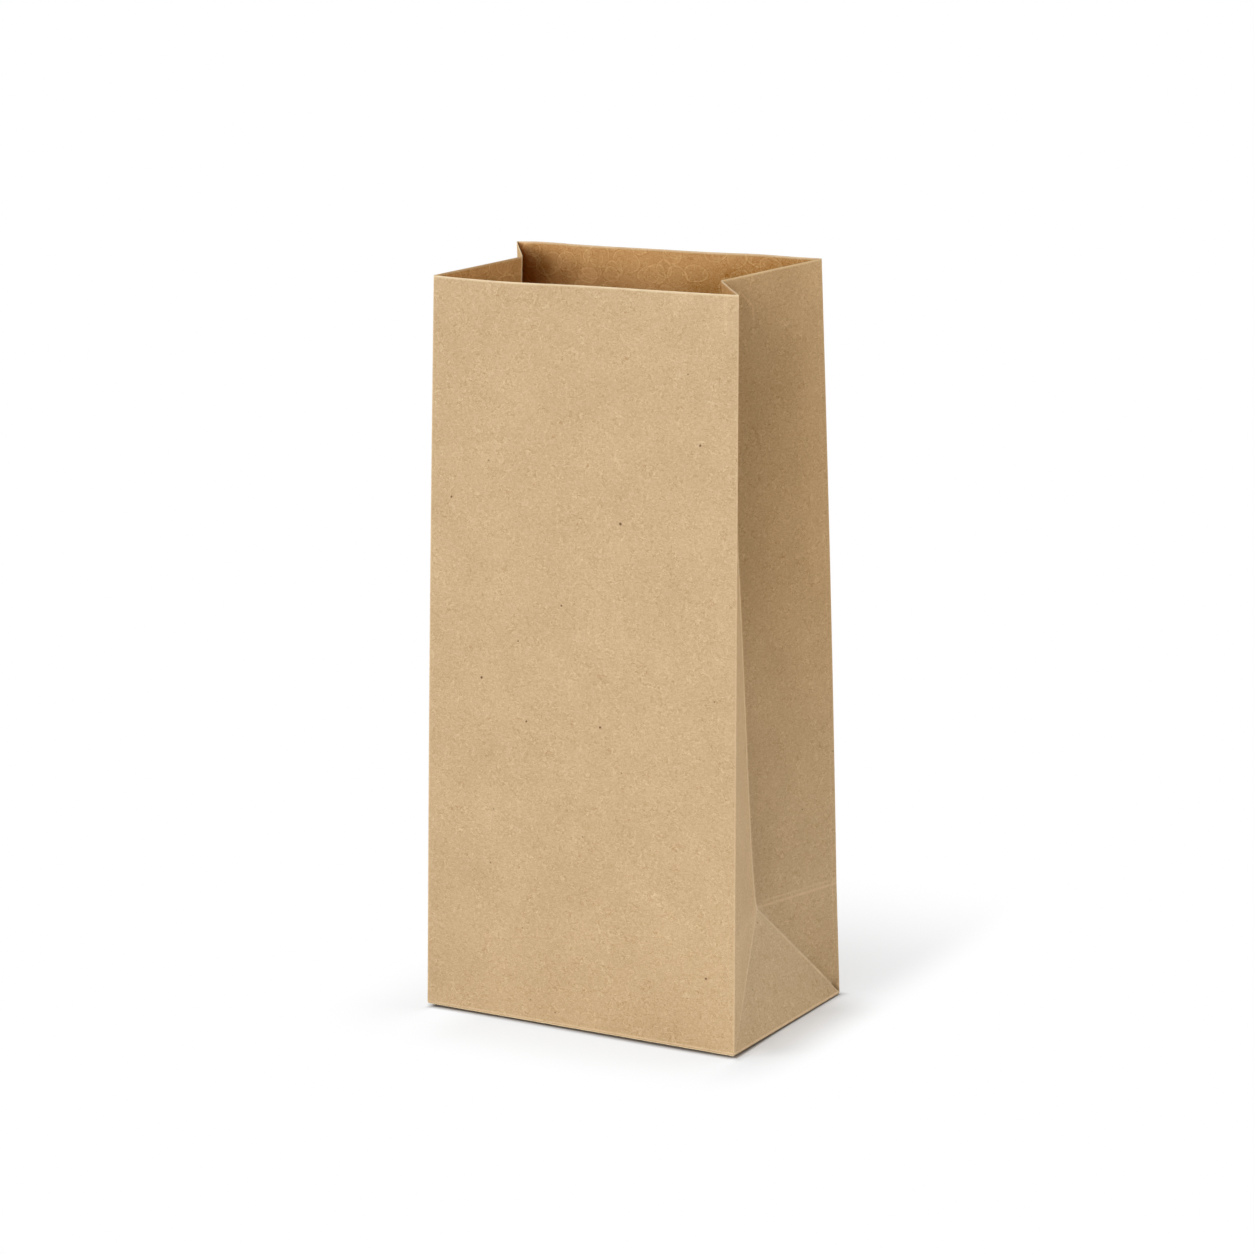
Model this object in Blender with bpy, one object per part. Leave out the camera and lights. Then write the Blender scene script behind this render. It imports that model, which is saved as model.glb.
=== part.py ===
# Kraft paper bag with a block bottom, standing open and empty.
#
# One sheet makes the whole bag: a front and a back wall, two side walls that are
# folded inwards along their middles, and a bottom of two mitred flaps glued over
# the ends of the side walls. The sheet's two edges are glued in one seam up the back.
# The sheet does not stretch: the folds keep their distances from the flat pattern,
# and the open mouth follows from how far the side folds come in.
# Metres, +Z up. The front faces -Y. The origin is the middle of the base, on the
# surface that the bag stands on.

import math

import bmesh
import bpy
from mathutils import Vector

# The flat pattern
WIDTH = 0.120  # front and back walls, side to side
DEPTH = 0.080  # side walls, front to back
HEIGHT = 0.258  # base folds to rim, along the walls
PAPER = 0.0002  # thickness of the sheet
SEAM_LAP = 0.012  # width of the glued seam
SEAM_EDGE = 0.008  # from the back wall's left corner to the seam
FLAP_LAP = 0.014  # overlap of the two bottom flaps at the middle of the base

# How the opened bag stands
TUCK_LOW = 0.0112  # side folds, in from the corners, at the top of the base triangles
TUCK_RIM = 0.0192  # side folds, in from the corners, at the rim
CREASE_DIP = 0.0008  # the back wall's cross crease, in from the flat wall
MOUTH_LEAN = 0.0015  # the rim's middle, back from the base's middle
MOUTH_TURN = math.radians(-1.9)  # front and back rims, about Z
MOUTH_RACK = math.radians(5.9)  # side rims, about Z: the mouth is a little racked

WALL_ROWS = 10  # rows of faces between the cross crease and the rim
KRAFT = (0.56, 0.38, 0.21, 1.0)

# A block bottom folds up flat along a crease at half its depth
HALF_DEPTH = DEPTH / 2
LEFT, RIGHT = -1, 1
FRONT, MIDDLE, BACK = -1, 0, 1
CORNERS = [(LEFT, FRONT), (RIGHT, FRONT), (RIGHT, BACK), (LEFT, BACK)]

# Layers of paper under the side flaps: the front flap, and the back flap over it
SIDE_FLAP_LIFT = 2 * PAPER


def clear_scene():
    for item in list(bpy.data.objects):
        bpy.data.objects.remove(item, do_unlink=True)


def base_corner(side, face):
    return Vector((side * WIDTH / 2, face * HALF_DEPTH, SIDE_FLAP_LIFT))


def rim_corner(side, face):
    # The side rims are two equal halves that meet at the tucked fold
    side_chord = 2 * math.sqrt(HALF_DEPTH**2 - TUCK_RIM**2)
    along_front = Vector((math.cos(MOUTH_TURN), math.sin(MOUTH_TURN), 0.0))
    along_side = Vector((-math.sin(MOUTH_RACK), math.cos(MOUTH_RACK), 0.0))
    corner = Vector((0.0, MOUTH_LEAN, 0.0))
    corner += along_front * side * WIDTH / 2 + along_side * face * side_chord / 2
    drift = corner - base_corner(side, face)
    drift.z = 0.0
    corner.z = SIDE_FLAP_LIFT + math.sqrt(HEIGHT**2 - drift.length_squared)
    return corner


def crease_corner(side, face):
    # Where the cross crease meets a corner fold. Only the back wall is creased there
    point = base_corner(side, face).lerp(rim_corner(side, face), HALF_DEPTH / HEIGHT)
    if face == BACK:
        point.y -= CREASE_DIP
    return point


def base_apex(side):
    # The base triangle is half as tall as the bag is deep, and leans in
    return Vector((
        side * (WIDTH / 2 - TUCK_LOW),
        0.0,
        SIDE_FLAP_LIFT + math.sqrt(HALF_DEPTH**2 - TUCK_LOW**2),
    ))


def point_at(centres, reaches, towards):
    # The point at given distances from three others, on the side that faces a fourth
    first, second, third = centres
    across = second - first
    span = across.length
    across.normalize()
    along = across.dot(third - first)
    down = third - first - across * along
    fall = down.length
    down.normalize()
    out = across.cross(down)
    if out.dot(towards - first) < 0:
        out.negate()
    reach_a, reach_b, reach_c = reaches
    x = (reach_a**2 - reach_b**2 + span**2) / (2 * span)
    y = (reach_a**2 - reach_c**2 + along**2 + fall**2) / (2 * fall) - along * x / fall
    z = math.sqrt(reach_a**2 - x**2 - y**2)
    return first + across * x + down * y + out * z


def rim_fold(side):
    return point_at(
        (rim_corner(side, FRONT), rim_corner(side, BACK), base_apex(side)),
        (HALF_DEPTH, HALF_DEPTH, HEIGHT - HALF_DEPTH),
        Vector((0.0, 0.0, HEIGHT)),
    )


def raise_ring(bm, places):
    # Extrudes the open edge and moves each new point to its place on the fold lines
    open_edge = [edge for edge in bm.edges if edge.is_boundary]
    rise = bmesh.ops.extrude_edge_only(bm, edges=open_edge)["geom"]
    raised = [item for item in rise if isinstance(item, bmesh.types.BMVert)]
    uprights = []
    for vert in raised:
        key = (RIGHT if vert.co.x > 0 else LEFT, round(vert.co.y / HALF_DEPTH))
        uprights += [edge for edge in vert.link_edges if edge.other_vert(vert) not in raised]
        vert.co = places[key]
    return uprights


def nearest(bm, place):
    return min(bm.verts, key=lambda vert: (vert.co - place).length)


def fold_sheet(bm):
    # The outer skin: base, then walls up to the cross crease, then walls up to the rim
    bmesh.ops.create_grid(bm, x_segments=1, y_segments=2, size=0.5)
    bmesh.ops.scale(bm, vec=(WIDTH, DEPTH, 1.0), verts=bm.verts)
    bmesh.ops.translate(bm, vec=(0.0, 0.0, SIDE_FLAP_LIFT), verts=bm.verts)

    creases = {key: crease_corner(*key) for key in CORNERS}
    creases.update({(side, MIDDLE): base_apex(side) for side in (LEFT, RIGHT)})
    raise_ring(bm, creases)
    for side, face in CORNERS:
        ends = [nearest(bm, base_corner(side, face)), nearest(bm, base_apex(side))]
        bmesh.ops.connect_vert_pair(bm, verts=ends)

    rims = {key: rim_corner(*key) for key in CORNERS}
    rims.update({(side, MIDDLE): rim_fold(side) for side in (LEFT, RIGHT)})
    uprights = raise_ring(bm, rims)
    bmesh.ops.subdivide_edges(bm, edges=uprights, cuts=WALL_ROWS - 1, use_grid_fill=True)
    bmesh.ops.recalc_face_normals(bm, faces=bm.faces)
    if min(bm.faces, key=lambda face: face.calc_center_median().z).normal.z > 0:
        bmesh.ops.reverse_faces(bm, faces=bm.faces)


def cut_faces(bm, faces, point, normal):
    # A straight line across the given faces only
    geom = {item for face in faces for item in (face, *face.edges, *face.verts)}
    bmesh.ops.bisect_plane(bm, geom=list(geom), plane_co=point, plane_no=normal, dist=PAPER / 100)


def lay_paper(bm, faces, lift):
    # More paper over the given faces, whose own surface becomes its top
    layer = bmesh.ops.extrude_face_region(bm, geom=faces)["geom"]
    bmesh.ops.delete(bm, geom=faces, context="FACES_KEEP_BOUNDARY")
    verts = [item for item in layer if isinstance(item, bmesh.types.BMVert)]
    bmesh.ops.translate(bm, vec=lift, verts=verts)


def is_on_back_flap(place):
    return place.y > -FLAP_LAP / 2 and abs(place.x) < WIDTH / 2 - HALF_DEPTH + place.y


def is_on_a_flap(place):
    inside_front_mitres = place.y < 0 and abs(place.x) < WIDTH / 2 - HALF_DEPTH - place.y
    return inside_front_mitres or is_on_back_flap(place)


def lay_bottom_flaps(bm, outer):
    # Both flaps lie between 45 degree mitres, and the back one goes over the front one
    def base_faces(is_wanted=lambda place: True):
        under = [face for face in bm.faces if face[outer] and face.normal.z < -0.9]
        return [face for face in under if is_wanted(face.calc_center_median())]

    for side, face in CORNERS:
        cut_faces(bm, base_faces(), base_corner(side, face), Vector((face, -side, 0.0)))
    cut_faces(bm, base_faces(), Vector((0.0, -FLAP_LAP / 2, 0.0)), Vector((0.0, 1.0, 0.0)))
    lay_paper(bm, base_faces(is_on_a_flap), Vector((0.0, 0.0, -PAPER)))
    lay_paper(bm, base_faces(is_on_back_flap), Vector((0.0, 0.0, -PAPER)))


def lay_seam(bm, outer):
    # The outer edge of the sheet, glued down along the back wall's left corner
    foot = base_corner(LEFT, BACK)
    across = Vector((0.0, 1.0, 0.0)).cross(rim_corner(LEFT, BACK) - foot).normalized()

    def wall_faces():
        return [face for face in bm.faces if face[outer] and face.normal.y > 0.9]

    def from_corner(face):
        return (face.calc_center_median() - foot).dot(across)

    seam_end = SEAM_EDGE + SEAM_LAP
    for reach in (SEAM_EDGE, seam_end):
        cut_faces(bm, wall_faces(), foot + across * reach, across)
    strip = [face for face in wall_faces() if SEAM_EDGE < from_corner(face) < seam_end]
    lay_paper(bm, strip, Vector((0.0, PAPER, 0.0)))


def make_bag():
    bm = bmesh.new()
    outer = bm.faces.layers.int.new("outer")
    fold_sheet(bm)
    skin = list(bm.faces)
    bmesh.ops.solidify(bm, geom=skin, thickness=PAPER)
    for face in skin:
        face[outer] = 1
    lay_bottom_flaps(bm, outer)
    lay_seam(bm, outer)
    bm.faces.layers.int.remove(outer)
    mesh = bpy.data.meshes.new("paper_bag")
    bm.to_mesh(mesh)
    bm.free()
    return bpy.data.objects.new("paper_bag", mesh)


def kraft_paper():
    material = bpy.data.materials.new("kraft_paper")
    material.use_nodes = True
    shader = material.node_tree.nodes["Principled BSDF"]
    shader.inputs["Base Color"].default_value = KRAFT
    shader.inputs["Roughness"].default_value = 0.85
    shader.inputs["Metallic"].default_value = 0.0
    return material


clear_scene()
bag = make_bag()
bag.data.materials.append(kraft_paper())
collection = bpy.data.collections.new("paper bag")
bpy.context.scene.collection.children.link(collection)
collection.objects.link(bag)
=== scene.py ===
import math

import bmesh
import bpy
from mathutils import Matrix, Vector, noise


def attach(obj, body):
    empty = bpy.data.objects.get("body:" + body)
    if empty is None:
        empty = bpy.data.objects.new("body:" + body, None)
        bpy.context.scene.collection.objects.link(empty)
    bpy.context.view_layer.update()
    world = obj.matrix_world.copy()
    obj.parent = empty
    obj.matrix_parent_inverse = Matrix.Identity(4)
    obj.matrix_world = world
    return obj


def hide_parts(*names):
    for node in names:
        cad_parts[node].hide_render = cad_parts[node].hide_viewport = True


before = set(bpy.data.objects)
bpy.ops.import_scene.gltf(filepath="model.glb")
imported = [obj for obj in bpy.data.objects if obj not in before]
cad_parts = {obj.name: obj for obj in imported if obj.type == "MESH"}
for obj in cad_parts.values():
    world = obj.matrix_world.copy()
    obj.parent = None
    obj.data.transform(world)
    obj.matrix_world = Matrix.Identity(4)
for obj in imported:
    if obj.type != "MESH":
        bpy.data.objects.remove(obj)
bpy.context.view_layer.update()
print("cad frame loaded")

# Kraft paper bag with a block bottom, standing open. Metres, front towards -Y
left, right, front, middle, back = -1, 1, -1, 0, 1
corners = [(left, front), (right, front), (right, back), (left, back)]
tiny = 1e-5


class Wire:
    # One value in a node tree, so that shader maths can be written as sums
    def __init__(self, tree, socket=None):
        self.tree = tree
        self.socket = socket

    def node(self, kind, settings, sockets, output=0):
        made = self.tree.nodes.new("ShaderNode" + kind)
        for name, value in settings.items():
            setattr(made, name, value)
        for name, value in sockets.items():
            if isinstance(value, Wire):
                self.tree.links.new(value.socket, made.inputs[name])
            else:
                made.inputs[name].default_value = value
        return Wire(self.tree, made.outputs[output])

    def maths(self, operation, *values):
        return self.node("Math", {"operation": operation}, dict(enumerate(values)))

    def __add__(self, other):
        return self.maths("ADD", self, other)

    def __radd__(self, other):
        return self.maths("ADD", other, self)

    def __sub__(self, other):
        return self.maths("SUBTRACT", self, other)

    def __rsub__(self, other):
        return self.maths("SUBTRACT", other, self)

    def __mul__(self, other):
        return self.maths("MULTIPLY", self, other)

    def __rmul__(self, other):
        return self.maths("MULTIPLY", other, self)

    def __truediv__(self, other):
        return self.maths("DIVIDE", self, other)

    def __abs__(self):
        return self.maths("ABSOLUTE", self)


# The sheet and its folds
bag = {
    "width": 0.120,
    "depth": 0.080,
    "height": 0.258,
    "paper": 0.0002,
    "tuckLow": 0.0112,  # side folds, in from the corners, at the top of the base triangles
    "tuckRim": 0.0192,  # the same at the rim
    "creaseDip": 0.0008,  # the back wall's cross crease, in from the flat wall
    "mouthLean": 0.0015,
    "mouthTurn": math.radians(-1.9),
    "mouthRack": math.radians(5.9),
    "seamEdge": 0.008,  # back left corner to the hidden edge of the glued seam
    "seamLap": 0.012,
    "flapLap": 0.014,  # overlap of the two bottom flaps
    "cell": 0.002,  # size of the mesh cells
    "support": 0.0009,  # extra cuts beside the folds
    "foldRadius": 0.00035,
    "wave": 0.0003,  # how far the walls wave
    "pocket": 0.0013,  # depth of the pockets at the back bottom corners
    "pocketAt": (0.0383, 0.0032),  # their place on the side walls, back and up
    "pocketReach": 0.0034,
    "crown": 0.014,  # how far in from its edges the bottom comes down to the floor
}

# How far handling has moved each fold end from the flat pattern, in millimetres
handled = {
    (left, front, "base"): (-0.2, 0.4, 2.3),
    (right, front, "base"): (0.65, 0.2, 0.5),
    (right, back, "base"): (0.15, -0.6, 0.1),
    (left, back, "base"): (0.0, 0.0, 0.3),
    (left, front, "rim"): (1.1, 0.5, -1.8),
    (right, front, "rim"): (0.0, -0.1, -0.3),
    (right, back, "rim"): (1.3, 0.7, 1.2),
    (left, back, "rim"): (0.0, -0.1, -0.6),
    (right, middle, "rim"): (-1.2, -0.7, -0.1),
    (left, middle, "rim"): (-1.0, -0.2, 1.9),
    (right, middle, "base"): (-0.2, 0.0, 1.3),
    (left, middle, "base"): (0.0, 0.0, 0.0),
}

# How far the upright folds bow at half height, in millimetres
bowed = {
    (left, front): (-0.4, 0.0, 0.0),
    (right, front): (0.0, 0.0, 0.0),
    (right, back): (0.6, 0.0, 0.0),
    (left, back): (0.0, 0.0, 0.0),
    (right, middle): (1.4, 0.0, 0.0),
    (left, middle): (0.3, 0.0, 0.0),
}

# The right side fold is pinched in just above its base triangle, in millimetres
pinched = {right: -1.6, left: 0.0}

# Dents and rises of the rims: place along the rim, half width, height in millimetres
rimWaves = {
    front: [(0.25, 0.21, -0.60), (0.75, 0.30, -0.20)],
    back: [(0.08, 0.12, 0.32), (0.45, 0.09, 0.08), (0.79, 0.10, 0.25)],
}

halfDepth = bag["depth"] / 2
halfWidth = bag["width"] / 2
lift = 2 * bag["paper"]  # both bottom flaps lie under the ends of the side walls


def baseCorner(side, face):
    return Vector((side * halfWidth, face * halfDepth, lift))


def rimCorner(side, face):
    chord = 2 * math.sqrt(halfDepth**2 - bag["tuckRim"]**2)
    alongFront = Vector((math.cos(bag["mouthTurn"]), math.sin(bag["mouthTurn"]), 0.0))
    alongSide = Vector((-math.sin(bag["mouthRack"]), math.cos(bag["mouthRack"]), 0.0))
    corner = Vector((0.0, bag["mouthLean"], 0.0))
    corner += alongFront * side * halfWidth + alongSide * face * chord / 2
    drift = corner - baseCorner(side, face)
    drift.z = 0.0
    corner.z = lift + math.sqrt(bag["height"]**2 - drift.length_squared)
    return corner


def baseApex(side):
    rise = math.sqrt(halfDepth**2 - bag["tuckLow"]**2)
    return Vector((side * (halfWidth - bag["tuckLow"]), 0.0, lift + rise))


def rimFold(side):
    # The point half a side's width from both rim corners, straight up the fold from the apex
    first, second, apex = rimCorner(side, front), rimCorner(side, back), baseApex(side)
    across = (second - first).normalized()
    span = (second - first).length
    along = across.dot(apex - first)
    down = apex - first - across * along
    fall = down.length
    down.normalize()
    out = across.cross(down)
    out *= 1 if out.z > 0 else -1
    reach = bag["height"] - halfDepth
    x = span / 2
    y = (halfDepth**2 - reach**2 + along**2 + fall**2) / (2 * fall) - along * x / fall
    z = math.sqrt(halfDepth**2 - x**2 - y**2)
    return first + across * x + down * y + out * z


def foldEnds():
    # Every point where folds meet, after handling
    ends = {}
    for side, face in corners:
        ends[side, face, "base"] = baseCorner(side, face)
        ends[side, face, "rim"] = rimCorner(side, face)
    for side in (left, right):
        ends[side, middle, "base"] = baseApex(side)
        ends[side, middle, "rim"] = rimFold(side)
    for key, moved in handled.items():
        ends[key] += Vector(moved) / 1000
    for side, face in corners:
        share = halfDepth / bag["height"]
        ends[side, face, "crease"] = ends[side, face, "base"].lerp(ends[side, face, "rim"], share)
        if face == back:
            ends[side, face, "crease"].y -= bag["creaseDip"]
    return ends


def uprightFold(ends, side, face, z):
    # A point of a corner fold, or of a side fold above its apex
    if face != middle and z < halfDepth:
        point = ends[side, face, "base"].lerp(ends[side, face, "crease"], z / halfDepth)
    else:
        start = ends[side, face, "base" if face == middle else "crease"]
        share = (z - halfDepth) / (bag["height"] - halfDepth)
        point = start.lerp(ends[side, face, "rim"], share)
    low = halfDepth if face == middle else 0.0
    rise = (z - low) / (bag["height"] - low)
    point += Vector(bowed[side, face]) * math.sin(math.pi * rise) / 1000
    if face == middle:
        point.x += side * pinched[side] * math.sin(math.pi * math.sqrt(max(0.0, rise))) / 1000
    return point


def ripple(x, y, z, depthwise):
    # Slow waves with small ones over them. The last value scales the slow ones along y
    slow = noise.noise(Vector((x * 30, y * depthwise, z * 18)))
    return slow + 0.4 * noise.noise(Vector((x * 85, y * 85, z * 60)))


def foldedPlace(ends, flat):
    # Where a point of the straight box goes when the bag is folded
    x, y, z = flat
    side = right if x > 0 else left
    face = back if y > 0 else front
    across = 0.5 + x / bag["width"]
    if z < tiny:
        # The bottom's edges stand a little off the floor, and its middle lies on it
        nearEdge = ends[left, front, "base"].lerp(ends[right, front, "base"], across)
        farEdge = ends[left, back, "base"].lerp(ends[right, back, "base"], across)
        place = nearEdge.lerp(farEdge, 0.5 + y / bag["depth"])
        inwards = min(1.0, min(halfWidth - abs(x), halfDepth - abs(y)) / bag["crown"])
        place.z += (lift - place.z) * inwards * inwards * (3 - 2 * inwards)
        return place
    if abs(y) > halfDepth - tiny:
        wall = uprightFold(ends, left, face, z).lerp(uprightFold(ends, right, face, z), across)
        swell = math.sin(math.pi * across) * min(1.0, z / halfDepth)
        wall.y += face * swell * bag["wave"] * ripple(x, y, z, 30)
        for place, reach, rise in rimWaves[face]:
            wave = math.exp(-((across - place) / reach)**2) * (z / bag["height"])**6
            wall.z += rise / 1000 * wave * min(1.0, 16 * across * (1 - across))
        return wall
    aside = abs(y) / halfDepth
    if z > halfDepth:
        wall = uprightFold(ends, side, middle, z).lerp(uprightFold(ends, side, face, z), aside)
        swell = math.sin(math.pi * aside) * min(1.0, (z - halfDepth) / halfDepth)
        wall.x += side * swell * bag["wave"] * ripple(x, y, z, 40)
        return wall
    up = z / halfDepth
    apex = ends[side, middle, "base"]
    if up <= 1 - aside + tiny:
        foot = ends[side, front, "base"].lerp(ends[side, back, "base"], 0.5)
        spread = ends[side, back, "base"] - ends[side, front, "base"]
        return foot * (1 - up) + apex * up + spread * y / bag["depth"]
    corner, crease = ends[side, face, "base"], ends[side, face, "crease"]
    wall = corner * (1 - up) + crease * (aside + up - 1) + apex * (1 - aside)
    bow = math.sin(math.pi * z / bag["height"]) * aside**2
    wall += Vector(bowed[side, face]) * bow / 1000
    if face == back:
        # The corner's little pocket, pushed in above the slanted fold
        away = math.hypot(y - bag["pocketAt"][0], z - bag["pocketAt"][1]) / bag["pocketReach"]
        wall.x -= side * bag["pocket"] * max(0.0, 1 - away * away)**2
    return wall


def cutAcross(bm, faces, point, normal):
    geom = {item for face in faces for item in (face, *face.edges, *face.verts)}
    bmesh.ops.bisect_plane(bm, geom=list(geom), plane_co=point, plane_no=normal, dist=tiny)


def cutAll(bm, point, normal):
    geom = list(bm.verts) + list(bm.edges) + list(bm.faces)
    bmesh.ops.bisect_plane(bm, geom=geom, plane_co=point, plane_no=normal, dist=tiny)


def straightBox(bm):
    # The sheet as a straight open box, cut along every fold and into small cells
    bmesh.ops.create_cube(bm, size=1.0)
    bmesh.ops.scale(bm, vec=(bag["width"], bag["depth"], bag["height"]), verts=bm.verts)
    bmesh.ops.translate(bm, vec=(0.0, 0.0, bag["height"] / 2), verts=bm.verts)
    top = [face for face in bm.faces if face.normal.z > 0.9]
    bmesh.ops.delete(bm, geom=top, context="FACES_ONLY")
    cutAll(bm, (0.0, 0.0, 0.0), (0.0, 1.0, 0.0))
    cutAll(bm, (0.0, 0.0, halfDepth), (0.0, 0.0, 1.0))

    def runsAlong(edge, axis):
        start, end = (vert.co for vert in edge.verts)
        return abs((end - start).normalized()[axis]) > 0.9

    for axis in (0, 1, 2):
        while True:
            runs = [edge for edge in bm.edges if runsAlong(edge, axis)]
            longest = max(edge.calc_length() for edge in runs)
            if longest < 1.5 * bag["cell"]:
                break
            batch = [edge for edge in runs if edge.calc_length() > longest - tiny]
            cuts = round(longest / bag["cell"]) - 1
            bmesh.ops.subdivide_edges(bm, edges=batch, cuts=cuts, use_grid_fill=True)

    support = bag["support"]
    for side in (left, right):
        cutAll(bm, (side * (halfWidth - support), 0.0, 0.0), (1.0, 0.0, 0.0))
        cutAll(bm, (0.0, side * (halfDepth - support), 0.0), (0.0, 1.0, 0.0))
        cutAll(bm, (0.0, side * support, 0.0), (0.0, 1.0, 0.0))
    for height in (support, bag["height"] - support):
        cutAll(bm, (0.0, 0.0, height), (0.0, 0.0, 1.0))

    # The two folds of each base triangle run up at 45 degrees
    for side, face in corners:
        for reach in (halfDepth - support, halfDepth, halfDepth + support):
            sides = [item for item in bm.faces if abs(item.normal.x) > 0.9]
            low = [item for item in sides if item.calc_center_median().z < halfDepth]
            cutAcross(bm, low, (0.0, 0.0, reach), (0.0, face, 1.0))


def isFold(edge):
    # Whether a cell edge of the straight box lies on a fold that turns sharply
    start, end = (vert.co for vert in edge.verts)

    def both(rule):
        return rule(start) and rule(end)

    onSide = both(lambda p: abs(abs(p.x) - halfWidth) < tiny)
    onFace = both(lambda p: abs(abs(p.y) - halfDepth) < tiny)
    onFloor = both(lambda p: p.z < tiny)
    upright = onSide and abs(start.z - end.z) > tiny
    atCorner = upright and onFace
    atMiddle = upright and both(lambda p: abs(p.y) < tiny and p.z > halfDepth - tiny)
    slanted = upright and both(lambda p: abs(abs(p.y) + p.z - halfDepth) < tiny)
    return atCorner or atMiddle or slanted or (onFloor and (onSide or onFace))


def layPaper(bm, faces, flatLayer, push):
    # One more layer of paper over the given faces. Its cut edges get the third material
    before = set(bm.faces)
    layer = bmesh.ops.extrude_face_region(bm, geom=faces)["geom"]
    raised = {item for item in layer if isinstance(item, bmesh.types.BMFace)}
    for face in bm.faces:
        if face not in before and face not in raised:
            face.material_index = 2
    bmesh.ops.delete(bm, geom=faces, context="FACES_KEEP_BOUNDARY")
    for vert in [item for item in layer if isinstance(item, bmesh.types.BMVert)]:
        vert.co += push(vert[flatLayer])


def flatMiddle(face, flatLayer):
    middlePoint = Vector((0.0, 0.0, 0.0))
    for vert in face.verts:
        middlePoint += vert[flatLayer]
    return middlePoint / len(face.verts)


def makeBag():
    bm = bmesh.new()
    straightBox(bm)
    flatLayer = bm.verts.layers.float_vector.new("flat")
    folds = [edge for edge in bm.edges if isFold(edge)]
    ends = foldEnds()
    for vert in bm.verts:
        vert[flatLayer] = vert.co
    for vert in bm.verts:
        vert.co = foldedPlace(ends, vert[flatLayer])
    bmesh.ops.recalc_face_normals(bm, faces=bm.faces)
    if min(bm.faces, key=lambda face: face.calc_center_median().z).normal.z > 0:
        bmesh.ops.reverse_faces(bm, faces=bm.faces)
    print("bag folded,", len(bm.faces), "cells")
    bmesh.ops.bevel(
        bm, geom=folds, offset=bag["foldRadius"], offset_type="OFFSET", segments=2,
        profile=0.5, affect="EDGES", clamp_overlap=True, material=-1, loop_slide=True,
    )

    skin = list(bm.faces)
    bmesh.ops.solidify(bm, geom=skin, thickness=bag["paper"])
    outside = set(skin)
    outsideVerts = {vert for face in skin for vert in face.verts}
    for face in bm.faces:
        shared = sum(vert in outsideVerts for vert in face.verts)
        if face not in outside:
            face.material_index = 1 if shared == 0 else 2
    print("sheet given its thickness,", len(bm.faces), "faces")

    # The bottom flaps lie between 45 degree mitres, the back one over the front one
    def floorFaces(rule=lambda place: True):
        under = [face for face in bm.faces if face.material_index == 0 and face.normal.z < -0.97]
        return [face for face in under if rule(flatMiddle(face, flatLayer))]

    def insideMitres(place, face):
        # Further in from both sides than from the flap's own fold
        for side in (left, right):
            inwards = ends[side, face, "base"] - place
            if inwards.x * side < inwards.y * face:
                return False
        return True

    def onBackFlap(place):
        return place.y > -bag["flapLap"] / 2 and insideMitres(place, back)

    def onAFlap(place):
        return place.y < 0 and insideMitres(place, front) or onBackFlap(place)

    for side, face in corners:
        cutAcross(bm, floorFaces(), ends[side, face, "base"], (face, -side, 0.0))
    cutAcross(bm, floorFaces(), (0.0, -bag["flapLap"] / 2, 0.0), (0.0, 1.0, 0.0))
    for face in floorFaces():
        for vert in face.verts:
            vert[flatLayer].x, vert[flatLayer].y = vert.co.x, vert.co.y
    down = Vector((0.0, 0.0, -bag["paper"]))
    layPaper(bm, floorFaces(onAFlap), flatLayer, lambda place: down)
    layPaper(bm, floorFaces(onBackFlap), flatLayer, lambda place: down)

    # The glued seam: the outer edge of the sheet, and the inner one a lap to its left
    outerEdge = -halfWidth + bag["seamEdge"] + bag["seamLap"]
    innerEdge = -halfWidth + bag["seamEdge"]

    def wallFaces(material, end):
        found = []
        for face in bm.faces:
            place = flatMiddle(face, flatLayer)
            onBack = place.y > halfDepth - tiny and place.z > tiny
            if face.material_index == material and onBack and -halfWidth + tiny < place.x < end:
                found.append(face)
        return found

    def seamStep(place):
        ramp = min(1.0, (place.x + halfWidth) / bag["seamEdge"])
        return Vector((0.0, bag["paper"] * ramp, 0.0))

    layPaper(bm, wallFaces(0, outerEdge), flatLayer, seamStep)
    layPaper(bm, wallFaces(1, innerEdge), flatLayer, seamStep)
    bmesh.ops.remove_doubles(bm, verts=bm.verts, dist=1e-7)

    for face in bm.faces:
        face.smooth = True
    mesh = bpy.data.meshes.new("kraftBag")
    bm.to_mesh(mesh)
    bm.free()
    mesh.set_sharp_from_angle(angle=math.radians(50))
    piece = bpy.data.objects.new("kraftBag", mesh)
    bpy.context.scene.collection.objects.link(piece)
    return piece


# Kraft paper, in linear colour
paperLook = {
    "outside": (0.655, 0.459, 0.258, 1.0),
    "inside": (0.655, 0.368, 0.140, 1.0),
    "cutEdge": (0.960, 0.790, 0.520, 1.0),
    "fold": (0.820, 0.610, 0.370, 1.0),
    "rimEdge": (0.950, 0.760, 0.490, 1.0),
    # tint of the painted shade on the side walls
    "shadedSidesTint": (1.10, 1.00, 0.85, 1.0),
    "warmer": (1.08, 1.01, 0.88, 1.0),
    # colour of the painted shade in the back corners' pockets
    "dark": (0.300, 0.180, 0.085, 1.0),
    "speck": (0.150, 0.062, 0.022, 1.0),
    "roughness": 0.82,
    "shine": 0.25,
    "cutRoughness": 0.9,
    "cutShine": 0.2,
    "bump": 0.1,
    "bumpHeight": 0.0002,
    "wallReach": 0.0004,  # how near a wall a point of the sheet has to be to belong to it
}

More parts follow.
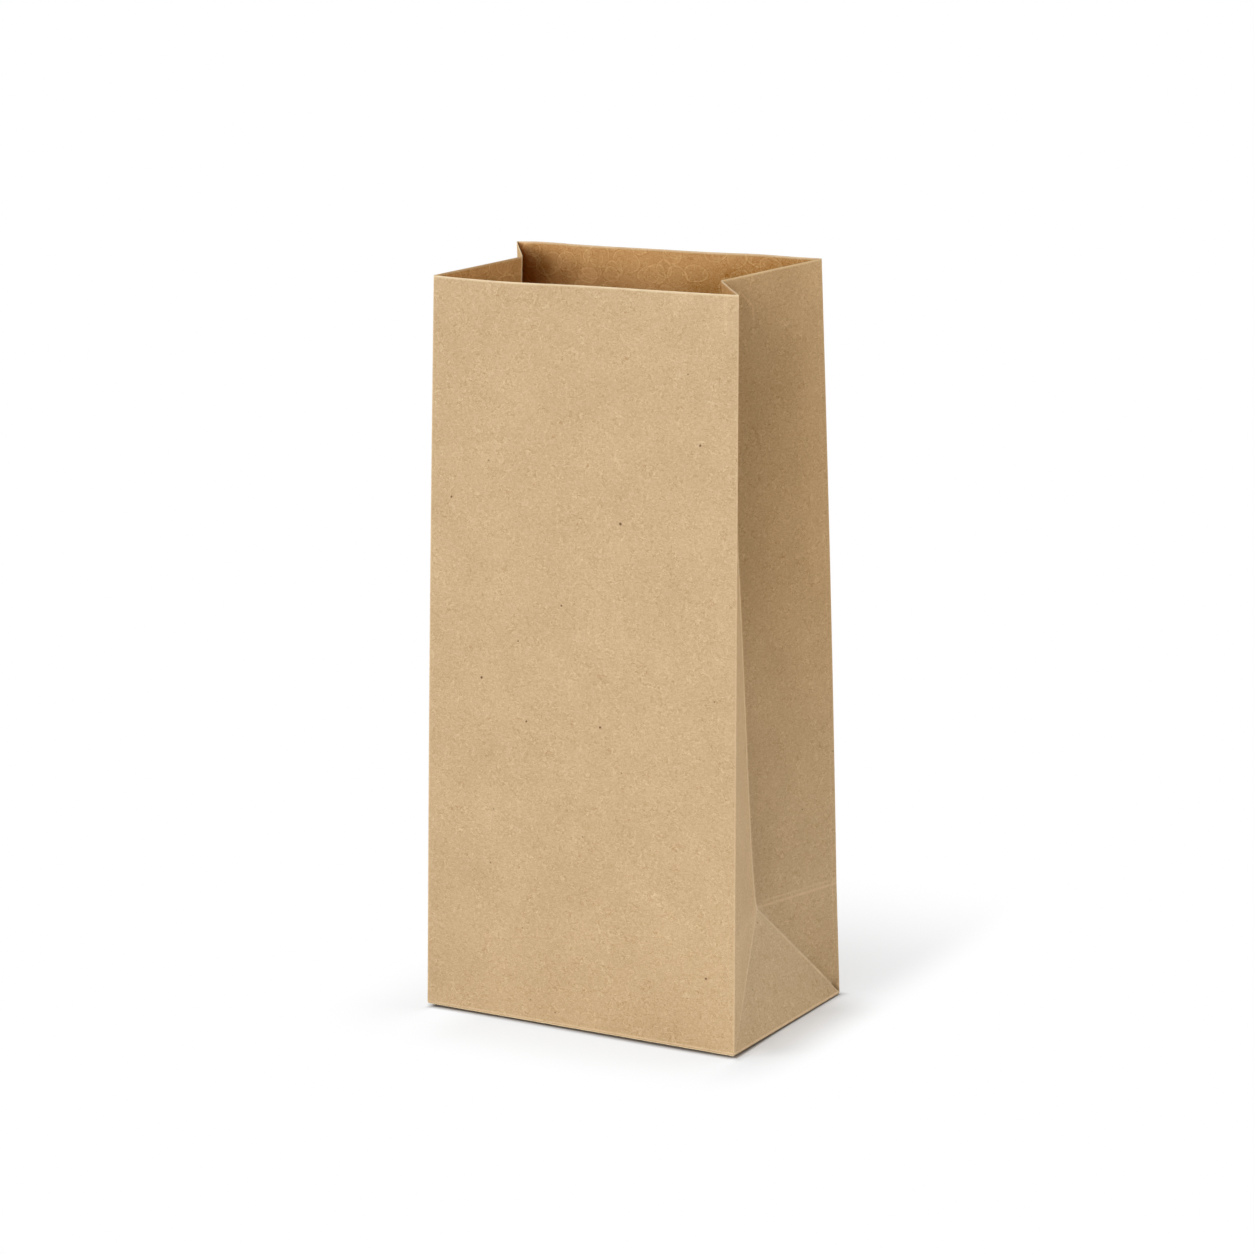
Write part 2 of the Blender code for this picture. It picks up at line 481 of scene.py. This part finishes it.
# Grain: noise cells per metre, detail, distortion and strength
grainLook = {
    "fine": [(2300.0, 1.0, 0.0, 0.30), (1150.0, 1.0, 1.6, 0.13)],
    "broad": [(150.0, 1.0, 0.0, 0.05), (48.0, 2.0, 0.0, 0.14)],
    "height": [(900.0, 1.0, 1.6, 0.8), (2300.0, 1.0, 0.0, 0.4)],
    "evenPower": 0.583,  # makes a change of tone the same in all three display values
    "outsideRed": 0.72,  # share of the red that fine detail gets
    "insideRed": 0.66,
}

# Fibres: cells per metre, width, stretch, and the patches of noise that have them
fibreSets = [
    (360.0, 0.045, 1.0, (310.0, -0.02, 0.08)),
    (560.0, 0.060, 1.4, (230.0, -0.04, 0.06)),
    (820.0, 0.080, 1.6, None),
]
fibreLook = {"twist": 0.6, "apart": 0.7, "everywhere": 0.8, "strength": 0.095, "height": 0.9}

# Small bark flecks and specks: cells per metre, size as a share of a cell, and strength
flecks = {"scale": 250.0, "size": 0.09, "strength": 0.13}
specks = {"scale": 88.0, "size": 0.042, "strength": 0.9}

# The larger bark specks: wall, place across and up the sheet, and size, in millimetres
barkSpecks = [
    (front, 15.3, 178.4, 0.62), (front, -38.8, 119.8, 0.52), (front, 7.8, 107.5, 0.56),
    (front, -51.6, 181.9, 0.46), (front, 45.7, 207.3, 0.50), (front, 49.0, 25.4, 0.54),
    (front, -7.4, 148.1, 0.38), (front, -24.3, 134.1, 0.34), (front, -20.9, 106.3, 0.38),
    (back, -31.0, 143.0, 0.55), (back, 22.5, 91.0, 0.48), (back, 38.0, 201.0, 0.52),
]

# Round ridges inside the bag, drawn as painted highlights and shadows. Two sets: cells per metre,
# half width of the line, and shift
ridgeSets = [(88.0, 0.034, 0.0), (97.0, 0.036, 0.031)]
ridgeLook = {
    "wander": 0.0035,
    "wanderScale": 90.0,
    "flattened": 1.25,
    "scatter": 0.75,
    "smallest": 0.29,  # radius as a share of a cell
    "larger": 0.16,
    "shadowOff": 1.6,
    "shadow": 0.4,
    "kept": (-0.22, 0.02),
    "puffFrom": 0.10,
    "puffTo": 1.5,
    "strength": 0.16,
    "puffStrength": 0.04,
    "height": 0.8,
}

# Painted soft shade and light inside the back wall: place across and up, size in millimetres, and
# strength
innerShades = [
    (-50.5, 250.5, 6.5, -0.22), (-48.5, 246.5, 6.5, -0.17), (-41.0, 246.0, 5.0, -0.15),
    (-31.0, 246.5, 6.0, 0.12), (-57.3, 257.2, 4.5, 0.40), (26.0, 250.0, 7.0, -0.09),
]

# Painted shade and light where the side walls curve: part of the wall, strength, and where
# along y or z each one comes in, from and to
sideShades = [
    ("whole", -0.055, ("z", 0.130, 0.185), ("z", 0.245, 0.215)),
    ("fore", -0.070, ("z", 0.090, 0.150), ("z", 0.210, 0.150)),
    ("rear", 0.040, ("z", 0.130, 0.080)),
    ("rear", 0.070, ("y", 0.024, 0.036), ("z", 0.130, 0.190)),
    ("rear", 0.085, ("y", 0.018, 0.002), ("z", 0.065, 0.115), ("z", 0.165, 0.115)),
]

# Painted light and shade of the base triangles, which get lighter on their way up
triangleShades = {
    "top": (0.044, 0.038),
    "evenHeight": 0.018,
    "climb": 3.2,
    "rear": 0.045,
    "overSlant": 0.055,
    "overSlantReach": 0.007,
}

# Creases that aren't folds, as points along and up their walls
creaseLines = {
    "insideLeft": [(-0.0545, 0.2550), (-0.0460, 0.2435)],
    "finger": [(0.0067, 0.2530), (0.0117, 0.2471), (0.0115, 0.2421), (0.0106, 0.2290)],
    "pocket": [(0.0366, 0.0042), (0.0394, 0.0014)],
}

# Pale lines of the folds, partly wear and partly painted highlight: reach and strength
foldWearAndHighlight = {
    "corners": (0.0009, 1.0),
    "sides": (0.0009, 1.2),
    "slants": (0.0007, 1.3),
    "floor": (0.0006, 0.9),
    "cross": (0.0008, 0.95),
    "crossTwin": (0.0006, 0.7),
}


def rising(value, low, high):
    # 0 at the first limit, 1 at the second
    return value.node("MapRange", {"interpolation_type": "SMOOTHSTEP"}, {
        "Value": value, "From Min": low, "From Max": high, "To Min": 0.0, "To Max": 1.0})


def nearness(distance, reach):
    # 1 on the line, fading to 0 at the given distance from it
    return rising(distance, reach, 0.0)


def most(first, *others):
    for other in others:
        first = first.maths("MAXIMUM", first, other)
    return first


def least(first, other):
    return first.maths("MINIMUM", first, other)


def alongAxes(place, axes="XYZ"):
    return [place.node("SeparateXYZ", {}, {0: place}, output=axis) for axis in axes]


def blendColour(factor, under, over, kind="MIX"):
    settings = {"data_type": "RGBA", "blend_type": kind}
    return factor.node("Mix", settings, {0: factor, 6: under, 7: over}, output=2)


def kraftPaper(name, ground, isInside=False):
    material = bpy.data.materials.new(name)
    material.use_nodes = True
    tree = material.node_tree
    shader = tree.nodes["Principled BSDF"]
    start = Wire(tree)
    flat = start.node("Attribute", {"attribute_name": "flat"}, {}, output="Vector")
    x, y, z = alongAxes(flat)
    offSide, offFace = halfWidth - abs(x), halfDepth - abs(y)
    wallReach = paperLook["wallReach"]
    rear = rising(y, -0.001, 0.001)

    def grain(scale, detail=1.0, distortion=0.0, stretch=1.0):
        spot = start.node("Mapping", {}, {"Vector": flat, "Scale": (1.0, 1.0, stretch)})
        return start.node("TexNoise", {}, {
            "Vector": spot, "Scale": scale, "Detail": detail, "Distortion": distortion}) - 0.5

    def grains(kind):
        total = 0.0
        for scale, detail, distortion, strength in grainLook[kind]:
            total = grain(scale, detail, distortion) * strength + total
        return total

    def spotted(look):
        # Spots where a cell's point falls close to the sheet
        away = start.node("TexVoronoi", {"feature": "F1"}, {"Vector": flat, "Scale": look["scale"]})
        return nearness(away, look["size"]) * look["strength"]

    def offLine(across, up, first, last):
        # Distance from a straight crease between two points of a wall
        run = [end - begin for begin, end in zip(first, last)]
        length = run[0]**2 + run[1]**2
        share = (across - first[0]) * (run[0] / length) + (up - first[1]) * (run[1] / length)
        share = least(most(share, 0.0), 1.0)
        aside, above = across - first[0] - share * run[0], up - first[1] - share * run[1]
        return start.maths("SQRT", aside * aside + above * above)

    def offSpot(face, across, up):
        # Distance from a spot of the front or back wall, given in millimetres
        spot = Vector((across, face * halfDepth * 1000, up)) / 1000
        settings = {"operation": "DISTANCE"}
        return start.node("VectorMath", settings, {0: flat, 1: spot}, output="Value")

    def scaledSum(value, scale, more):
        settings = {"operation": "MULTIPLY_ADD"}
        return start.node("VectorMath", settings, {0: value, 1: scale, 2: more})

    # Thin curved fibres along the noise's middle value, light on one side and dark on the other
    strands = 0.0
    for scale, width, stretch, patches in fibreSets:
        level, apart = grain(scale, 1.0, fibreLook["twist"], stretch), width * fibreLook["apart"]
        fibres = nearness(abs(level - apart), width) - nearness(abs(level + apart), width)
        kept = fibreLook["everywhere"]
        if patches:
            kept = rising(grain(patches[0]), patches[1], patches[2])
        strands = fibres * kept + strands
    fine = grains("fine") + strands * fibreLook["strength"] - spotted(flecks)
    light = grains("broad")
    height = grains("height") + strands * fibreLook["height"]
    broken = 0.75 + grain(250.0) * 1.2  # breaks up the worn lines

    if isInside:
        # Overlapping round ridges left by the hand that opened the bag, as painted highlights with
        # a painted shadow beside each, and as bumps
        look = ridgeLook
        sockets = {"Vector": flat, "Scale": look["wanderScale"]}
        wander = start.node("TexNoise", {}, sockets, output="Color")
        acrossSheet, depthwise, upSheet = alongAxes(scaledSum(wander, [look["wander"]] * 3, flat))
        ridges, puffs = 0.0, 0.0
        for scale, width, shift in ridgeSets:
            sheetPlace = start.node("CombineXYZ", {}, {
                "X": acrossSheet + depthwise + shift,
                "Y": upSheet * look["flattened"] + shift,
            })

            def cells(output):
                return start.node("TexVoronoi", {"feature": "F1", "voronoi_dimensions": "2D"}, {
                    "Vector": sheetPlace, "Scale": scale, "Randomness": look["scatter"],
                }, output=output)

            centres = cells("Distance")
            chance = start.node("SeparateColor", {}, {0: cells("Color")}, output="Red")
            ring = look["smallest"] + look["larger"] * chance
            shadow = nearness(abs(centres - ring - width * look["shadowOff"]), width)
            arcs = nearness(abs(centres - ring), width) - shadow * look["shadow"]
            kept = rising(grain(scale), *look["kept"])
            ridges = arcs * kept + ridges
            # Painted light that rounds each cell between the ridges like a pillow, also used as
            # bump
            puff = rising(centres, look["puffFrom"], ring)
            puff = puff * nearness(centres, ring * look["puffTo"])
            puffs = puff * kept + puffs
        onBackWall = rising(y, halfDepth - 0.0005, halfDepth - 0.0001)
        # Painted highlight along a crease near the top left of the back wall
        crease = nearness(offLine(x, z, *creaseLines["insideLeft"]), 0.0008)
        ridges = ridges + crease * onBackWall
        fine = fine + ridges * look["strength"]
        # Painted shade and light on the back wall beside the side folds
        for across, up, size, shade in innerShades:
            light = light + nearness(offSpot(back, across, up), size / 1000) * shade
        darker = 0.010 + rising(grain(130.0, 2.0), 0.08, 0.22) * 0.07
        light = light + puffs * look["puffStrength"] - darker
        # Painted shade: deeper down beside the right side the back wall gets darker
        deep = rising(bag["height"] - z + x * 0.3, 0.006, 0.020)
        light = light - deep * rising(x, -0.010, 0.016) * onBackWall * 0.23
        height = height + (ridges + puffs) * look["height"]
    else:
        onSide = nearness(offSide, wallReach)
        inBack = rear * onSide
        onRight = rising(x, 0.0, tiny) * inBack
        axes = {"y": y, "z": z}
        wallParts = {"whole": onSide, "fore": onSide - inBack, "rear": inBack}
        # Painted shade and light on the side walls, from the table above
        for part, strength, *limits in sideShades:
            shade = wallParts[part] * strength
            for axis, low, high in limits:
                shade = shade * rising(axes[axis], low, high)
            light = light + shade
        # Painted light on the base triangles, and painted shade in a darker strip over the back
        # slants
        triangle = rising(z, *triangleShades["top"]) * onSide
        light = light + (z - triangleShades["evenHeight"]) * triangle * triangleShades["climb"]
        offSlant = z + y - halfDepth
        aboveSlant = rising(offSlant, 0.0, 0.0007)
        strip = nearness(offSlant, triangleShades["overSlantReach"]) * aboveSlant
        strip = strip * rising(y, 0.012, 0.030) * triangleShades["overSlant"]
        light = light - (strip + triangleShades["rear"]) * triangle * inBack
        # Painted shade: the front and back walls get darker towards their lower right
        foot = rising(x, -0.020, 0.030) * rising(z, 0.040, 0.0) * nearness(offFace, wallReach)
        light = light - foot * 0.05
        # Painted highlights along a second crease beside each back corner, and along a fine one
        # under the rim at the front right
        light = light + nearness(abs(halfDepth - y - 0.0023), 0.0005) * inBack * broken * 0.06
        onFront = nearness(y + halfDepth, wallReach)
        underRim = least(abs(x - 0.0553), abs(x - 0.0546)) + rising(z, 0.248, 0.236) * 0.001
        light = light + nearness(underRim, 0.0004) * onFront * broken * 0.10
        # The rim rubbed pale in places, most beside the front corners
        rubbed = rising(grain(95.0) + abs(x) * 6.0, 0.30, 0.48) * rising(z, 0.2510, 0.2570)
        light = light + rubbed * onFront * 0.07
        # Painted highlight along the wrinkle that a finger left at the top of the right side, and
        # painted shade beside it
        wrinkle = 0.0
        for first, last in zip(creaseLines["finger"], creaseLines["finger"][1:]):
            wrinkle = most(nearness(offLine(y, z, first, last), 0.0006), wrinkle)
        wrinkle = wrinkle * rising(z, 0.229, 0.247) * onRight
        beside = rising(y, 0.0112, 0.0090) * rising(y + (z - 0.258) * 0.9, -0.004, 0.001)
        beside = beside * rising(z, 0.215, 0.240) * onRight
        light = light + wrinkle * broken * 0.14 - beside * 0.05

    # A broad shade changes all three display values by the same amount. Fine detail comes out
    # redder than broad shades do, so its red is held back
    lighter = Vector([shade**grainLook["evenPower"] for shade in ground[:3]])
    finer = lighter * Vector((grainLook["insideRed" if isInside else "outsideRed"], 1.0, 1.0))
    tone = scaledSum(finer, fine, scaledSum(lighter, light, ground[:3]))
    tone = blendColour(spotted(specks), tone, paperLook["speck"])
    if not isInside:
        bark = 0.0
        jagged = grain(900.0) * 0.0007 - 0.0001
        for face, across, up, size in barkSpecks:
            bark = most(nearness(offSpot(face, across, up) + jagged, size / 1000), bark)
        tone = blendColour(least(bark * 1.2, 0.88), tone, paperLook["speck"])

    # Fold lines, pale where they are worn, with a painted highlight where their rounding catches
    # the light. Each distance is measured on the straight box
    away = {
        "corners": most(offSide, offFace),
        "sides": most(abs(y), offSide, halfDepth - z),
        "slants": most(abs(abs(y) + z - halfDepth) * 0.7, offSide, z - halfDepth),
        "floor": most(abs(z - 0.0007), least(offSide, offFace)),
        "cross": most(abs(z - halfDepth - 0.0003), 0.0 - y),
        "crossTwin": most(abs(z - halfDepth - 0.0019), 0.004 - y),
    }
    slantLineFade = 0.25 + 0.75 * rising(z + rear * 0.008, 0.009, 0.021)
    wornAndLit = 0.0
    for fold, (reach, strength) in foldWearAndHighlight.items():
        line = nearness(away[fold], reach) * strength
        wornAndLit = most(line * slantLineFade if fold == "slants" else line, wornAndLit)
    tone = blendColour(wornAndLit * broken, tone, paperLook["fold"])
    # Painted highlight along the middle folds of the side walls
    sideLine = nearness(away["sides"], 0.0007) * broken
    tone = blendColour(sideLine * 0.55, tone, paperLook["rimEdge"])
    rimLine = nearness(bag["height"] - z, 0.0010) * (0.95 + grain(160.0))
    tone = blendColour(rimLine, tone, paperLook["rimEdge"])

    if isInside:
        # The left side is seen by light that has already met the paper
        onLeft = nearness(x + halfWidth, wallReach)
        tone = blendColour(onLeft, tone, paperLook["warmer"], "MULTIPLY")
    else:
        # Painted shade: the side walls are tinted warmer and deeper, as they look in shade, behind
        # their middle folds and above the triangles
        shadedSidePart = onSide * rising(z + abs(y) - halfDepth, 0.0, 0.003)
        shadedSidePart = shadedSidePart * (0.45 + 0.55 * rear)
        shadedSidePart = shadedSidePart * (0.30 + 0.70 * rising(z, 0.030, 0.180))
        tone = blendColour(shadedSidePart, tone, paperLook["shadedSidesTint"], "MULTIPLY")
        # Painted shade in the pocket at the foot of each back corner
        inPocket = nearness(offLine(y, z, *creaseLines["pocket"]), 0.0019) * onSide * aboveSlant
        tone = blendColour(inPocket * 0.60, tone, paperLook["dark"])

    tree.links.new(tone.socket, shader.inputs["Base Color"])
    bump = start.node("Bump", {}, {
        "Height": height, "Strength": paperLook["bump"], "Distance": paperLook["bumpHeight"]})
    tree.links.new(bump.socket, shader.inputs["Normal"])
    shader.inputs["Roughness"].default_value = paperLook["roughness"]
    shader.inputs["Specular IOR Level"].default_value = paperLook["shine"]
    return material


def cutEdgePaper():
    material = bpy.data.materials.new("paperCutEdge")
    material.use_nodes = True
    tree = material.node_tree
    shader = tree.nodes["Principled BSDF"]
    start = Wire(tree)
    flat = start.node("Attribute", {"attribute_name": "flat"}, {}, output="Vector")
    fuzz = start.node("TexNoise", {}, {"Vector": flat, "Scale": 700.0, "Detail": 3.0})
    tone = blendColour(fuzz * 0.5, paperLook["cutEdge"], paperLook["fold"])
    tree.links.new(tone.socket, shader.inputs["Base Color"])
    shader.inputs["Roughness"].default_value = paperLook["cutRoughness"]
    shader.inputs["Specular IOR Level"].default_value = paperLook["cutShine"]
    return material


kraftBag = makeBag()
kraftBag.data.materials.append(kraftPaper("kraftOutside", paperLook["outside"]))
kraftBag.data.materials.append(kraftPaper("kraftInside", paperLook["inside"], isInside=True))
kraftBag.data.materials.append(cutEdgePaper())
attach(kraftBag, "root")
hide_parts("paper_bag")
print("bag made,", len(kraftBag.data.polygons), "faces")


# Floor, light and camera
studio = {
    "floorColour": (0.915, 0.950, 0.985, 1.0),
    # colour of the painted contact shadow under the bag
    "contactShadowColour": (0.420, 0.380, 0.340, 1.0),
    # How much the floor glows beside the bag, and how far off it is plain white
    "glow": {
        "right": (0.05, 0.026),
        "left": (0.88, 0.039),
        "front": (0.83, 0.042),
        "back": (0.62, 0.141),
    },
    "lamps": {
        "frontLeft": {"azimuth": 50.0, "height": 15.0, "spread": 30.0, "strength": 0.425},
        "front": {"azimuth": -8.0, "height": 17.0, "spread": 34.0, "strength": 0.455},
        "backRight": {"azimuth": -141.0, "height": 16.0, "spread": 40.0, "strength": 0.415},
        "high": {"azimuth": -150.0, "height": 60.0, "spread": 30.0, "strength": 0.265},
    },
}

shot = {
    "yaw": math.radians(29.543),
    "pitch": math.radians(13.120),
    "roll": math.radians(-1.001),
    "distance": 1.6443,
    "target": (-0.00036, 0.0, 0.13399),
    "lens": 138.18,
}


def layFloor():
    bm = bmesh.new()
    bmesh.ops.create_grid(bm, x_segments=1, y_segments=1, size=6.0)
    mesh = bpy.data.meshes.new("floor")
    bm.to_mesh(mesh)
    bm.free()
    floor = bpy.data.objects.new("floor", mesh)
    bpy.context.scene.collection.objects.link(floor)
    mesh.materials.append(paleFloor())


def paleFloor():
    # Pale board that keeps the bag's shadow near it, and turns to plain white further off
    material = bpy.data.materials.new("paleFloor")
    material.use_nodes = True
    tree = material.node_tree
    tree.nodes.remove(tree.nodes["Principled BSDF"])
    start = Wire(tree)
    place = start.node("TexCoord", {}, {}, output="Object")
    x, y = alongAxes(place, "XY")
    leftEnd = rising(x, halfWidth, -halfWidth)
    off = {
        "right": x - halfWidth - 0.0002 + y * 0.006 - rising(y, 0.0, -halfDepth) * 0.0007,
        "left": 0 - x - halfWidth,
        "front": 0 - y - halfDepth + 0.0008,
        "back": y - halfDepth,
    }
    parts = {}
    for name, distance in off.items():
        parts[name] = most(distance, 0.0) / studio["glow"][name][1]
    total = parts["right"] + parts["left"] + parts["front"] + parts["back"] + tiny
    hold = {name: glow[0] for name, glow in studio["glow"].items()}
    hold["right"] = hold["right"] + 0.57 * rising(y, 0.018, 0.044)
    hold["right"] = hold["right"] + 0.50 * rising(y, -0.020, -0.042)
    hold["front"] = hold["front"] + 0.14 * rising(x, -0.035, -0.055)
    held = tiny * hold["front"]
    for name in off:
        held = held + parts[name] * hold[name]
    held = held / total
    squares = parts["right"] * parts["right"]
    for name in ("left", "front", "back"):
        squares = squares + parts[name] * parts[name]
    glow = held + (1 - held) * rising(start.maths("SQRT", squares), 0.0, 1.0)

    # Painted contact shadow: the floor is dark where the bag stands, except under its raised front
    # left corner
    outwards = off["front"] + leftEnd * 0.0042
    off["left"] = off["left"] - nearness(abs(y + 0.0315), 0.0055) * 0.0017
    outwards = most(outwards, off["right"], off["left"], off["back"])
    clear = rising(outwards, -0.0004, 0.0032)
    openFloor = rising(outwards, -0.0006, 0.0007)
    seen = start.node("LightPath", {}, {}, output="Is Camera Ray")
    colour = blendColour(openFloor, studio["contactShadowColour"], studio["floorColour"])
    board = start.node("BsdfDiffuse", {}, {"Color": colour})
    white = start.node("Emission", {}, {"Color": (1.0, 1.0, 1.0, 1.0), "Strength": 1.0})
    mixed = start.node("MixShader", {}, {0: seen * glow * clear, 1: board, 2: white})
    tree.links.new(mixed.socket, tree.nodes["Material Output"].inputs["Surface"])
    return material


def lightDome():
    # White behind everything. It lights nothing, which is left to the lamps
    world = bpy.data.worlds.new("dome")
    bpy.context.scene.world = world
    world.use_nodes = True
    tree = world.node_tree
    start = Wire(tree)
    seen = start.node("LightPath", {}, {}, output="Is Camera Ray")
    tree.links.new(seen.socket, tree.nodes["Background"].inputs["Strength"])
    tree.nodes["Background"].inputs["Color"].default_value = (1.0, 1.0, 1.0, 1.0)


def hangLamp(name):
    # Azimuth 0 shines from the front and 90 from the left. A strength of 1 shows a
    # white surface that faces the lamp as white
    lamp = bpy.data.lights.new(name, "SUN")
    aim = studio["lamps"][name]
    lamp.angle = math.radians(aim["spread"])
    lamp.energy = aim["strength"] * math.pi
    azimuth, height = math.radians(aim["azimuth"]), math.radians(aim["height"])
    shine = Vector((
        math.sin(azimuth) * math.cos(height),
        math.cos(azimuth) * math.cos(height),
        -math.sin(height),
    ))
    item = bpy.data.objects.new(name, lamp)
    item.rotation_euler = shine.to_track_quat("-Z", "Y").to_euler()
    item.location = shine * -2.0
    bpy.context.scene.collection.objects.link(item)


def setCamera():
    yaw, pitch, roll = shot["yaw"], shot["pitch"], shot["roll"]
    level = Vector((math.sin(yaw), -math.cos(yaw), 0.0))
    backward = level * math.cos(pitch) + Vector((0.0, 0.0, math.sin(pitch)))
    sideways = Vector((math.cos(yaw), math.sin(yaw), 0.0))
    upward = backward.cross(sideways)
    turned = sideways * math.cos(roll) + upward * math.sin(roll)
    risen = upward * math.cos(roll) - sideways * math.sin(roll)
    camera = bpy.data.objects.new("camera", bpy.data.cameras.new("camera"))
    camera.data.lens = shot["lens"]
    camera.data.sensor_width = 36.0
    camera.data.clip_end = 20.0
    place = Vector(shot["target"]) + backward * shot["distance"]
    turn = Matrix((turned, risen, backward)).transposed().to_4x4()
    camera.matrix_world = Matrix.Translation(place) @ turn
    bpy.context.scene.collection.objects.link(camera)
    bpy.context.scene.camera = camera


layFloor()
lightDome()
for name in studio["lamps"]:
    hangLamp(name)
setCamera()
bpy.context.scene.view_settings.view_transform = "Standard"
print("floor, light and camera placed")
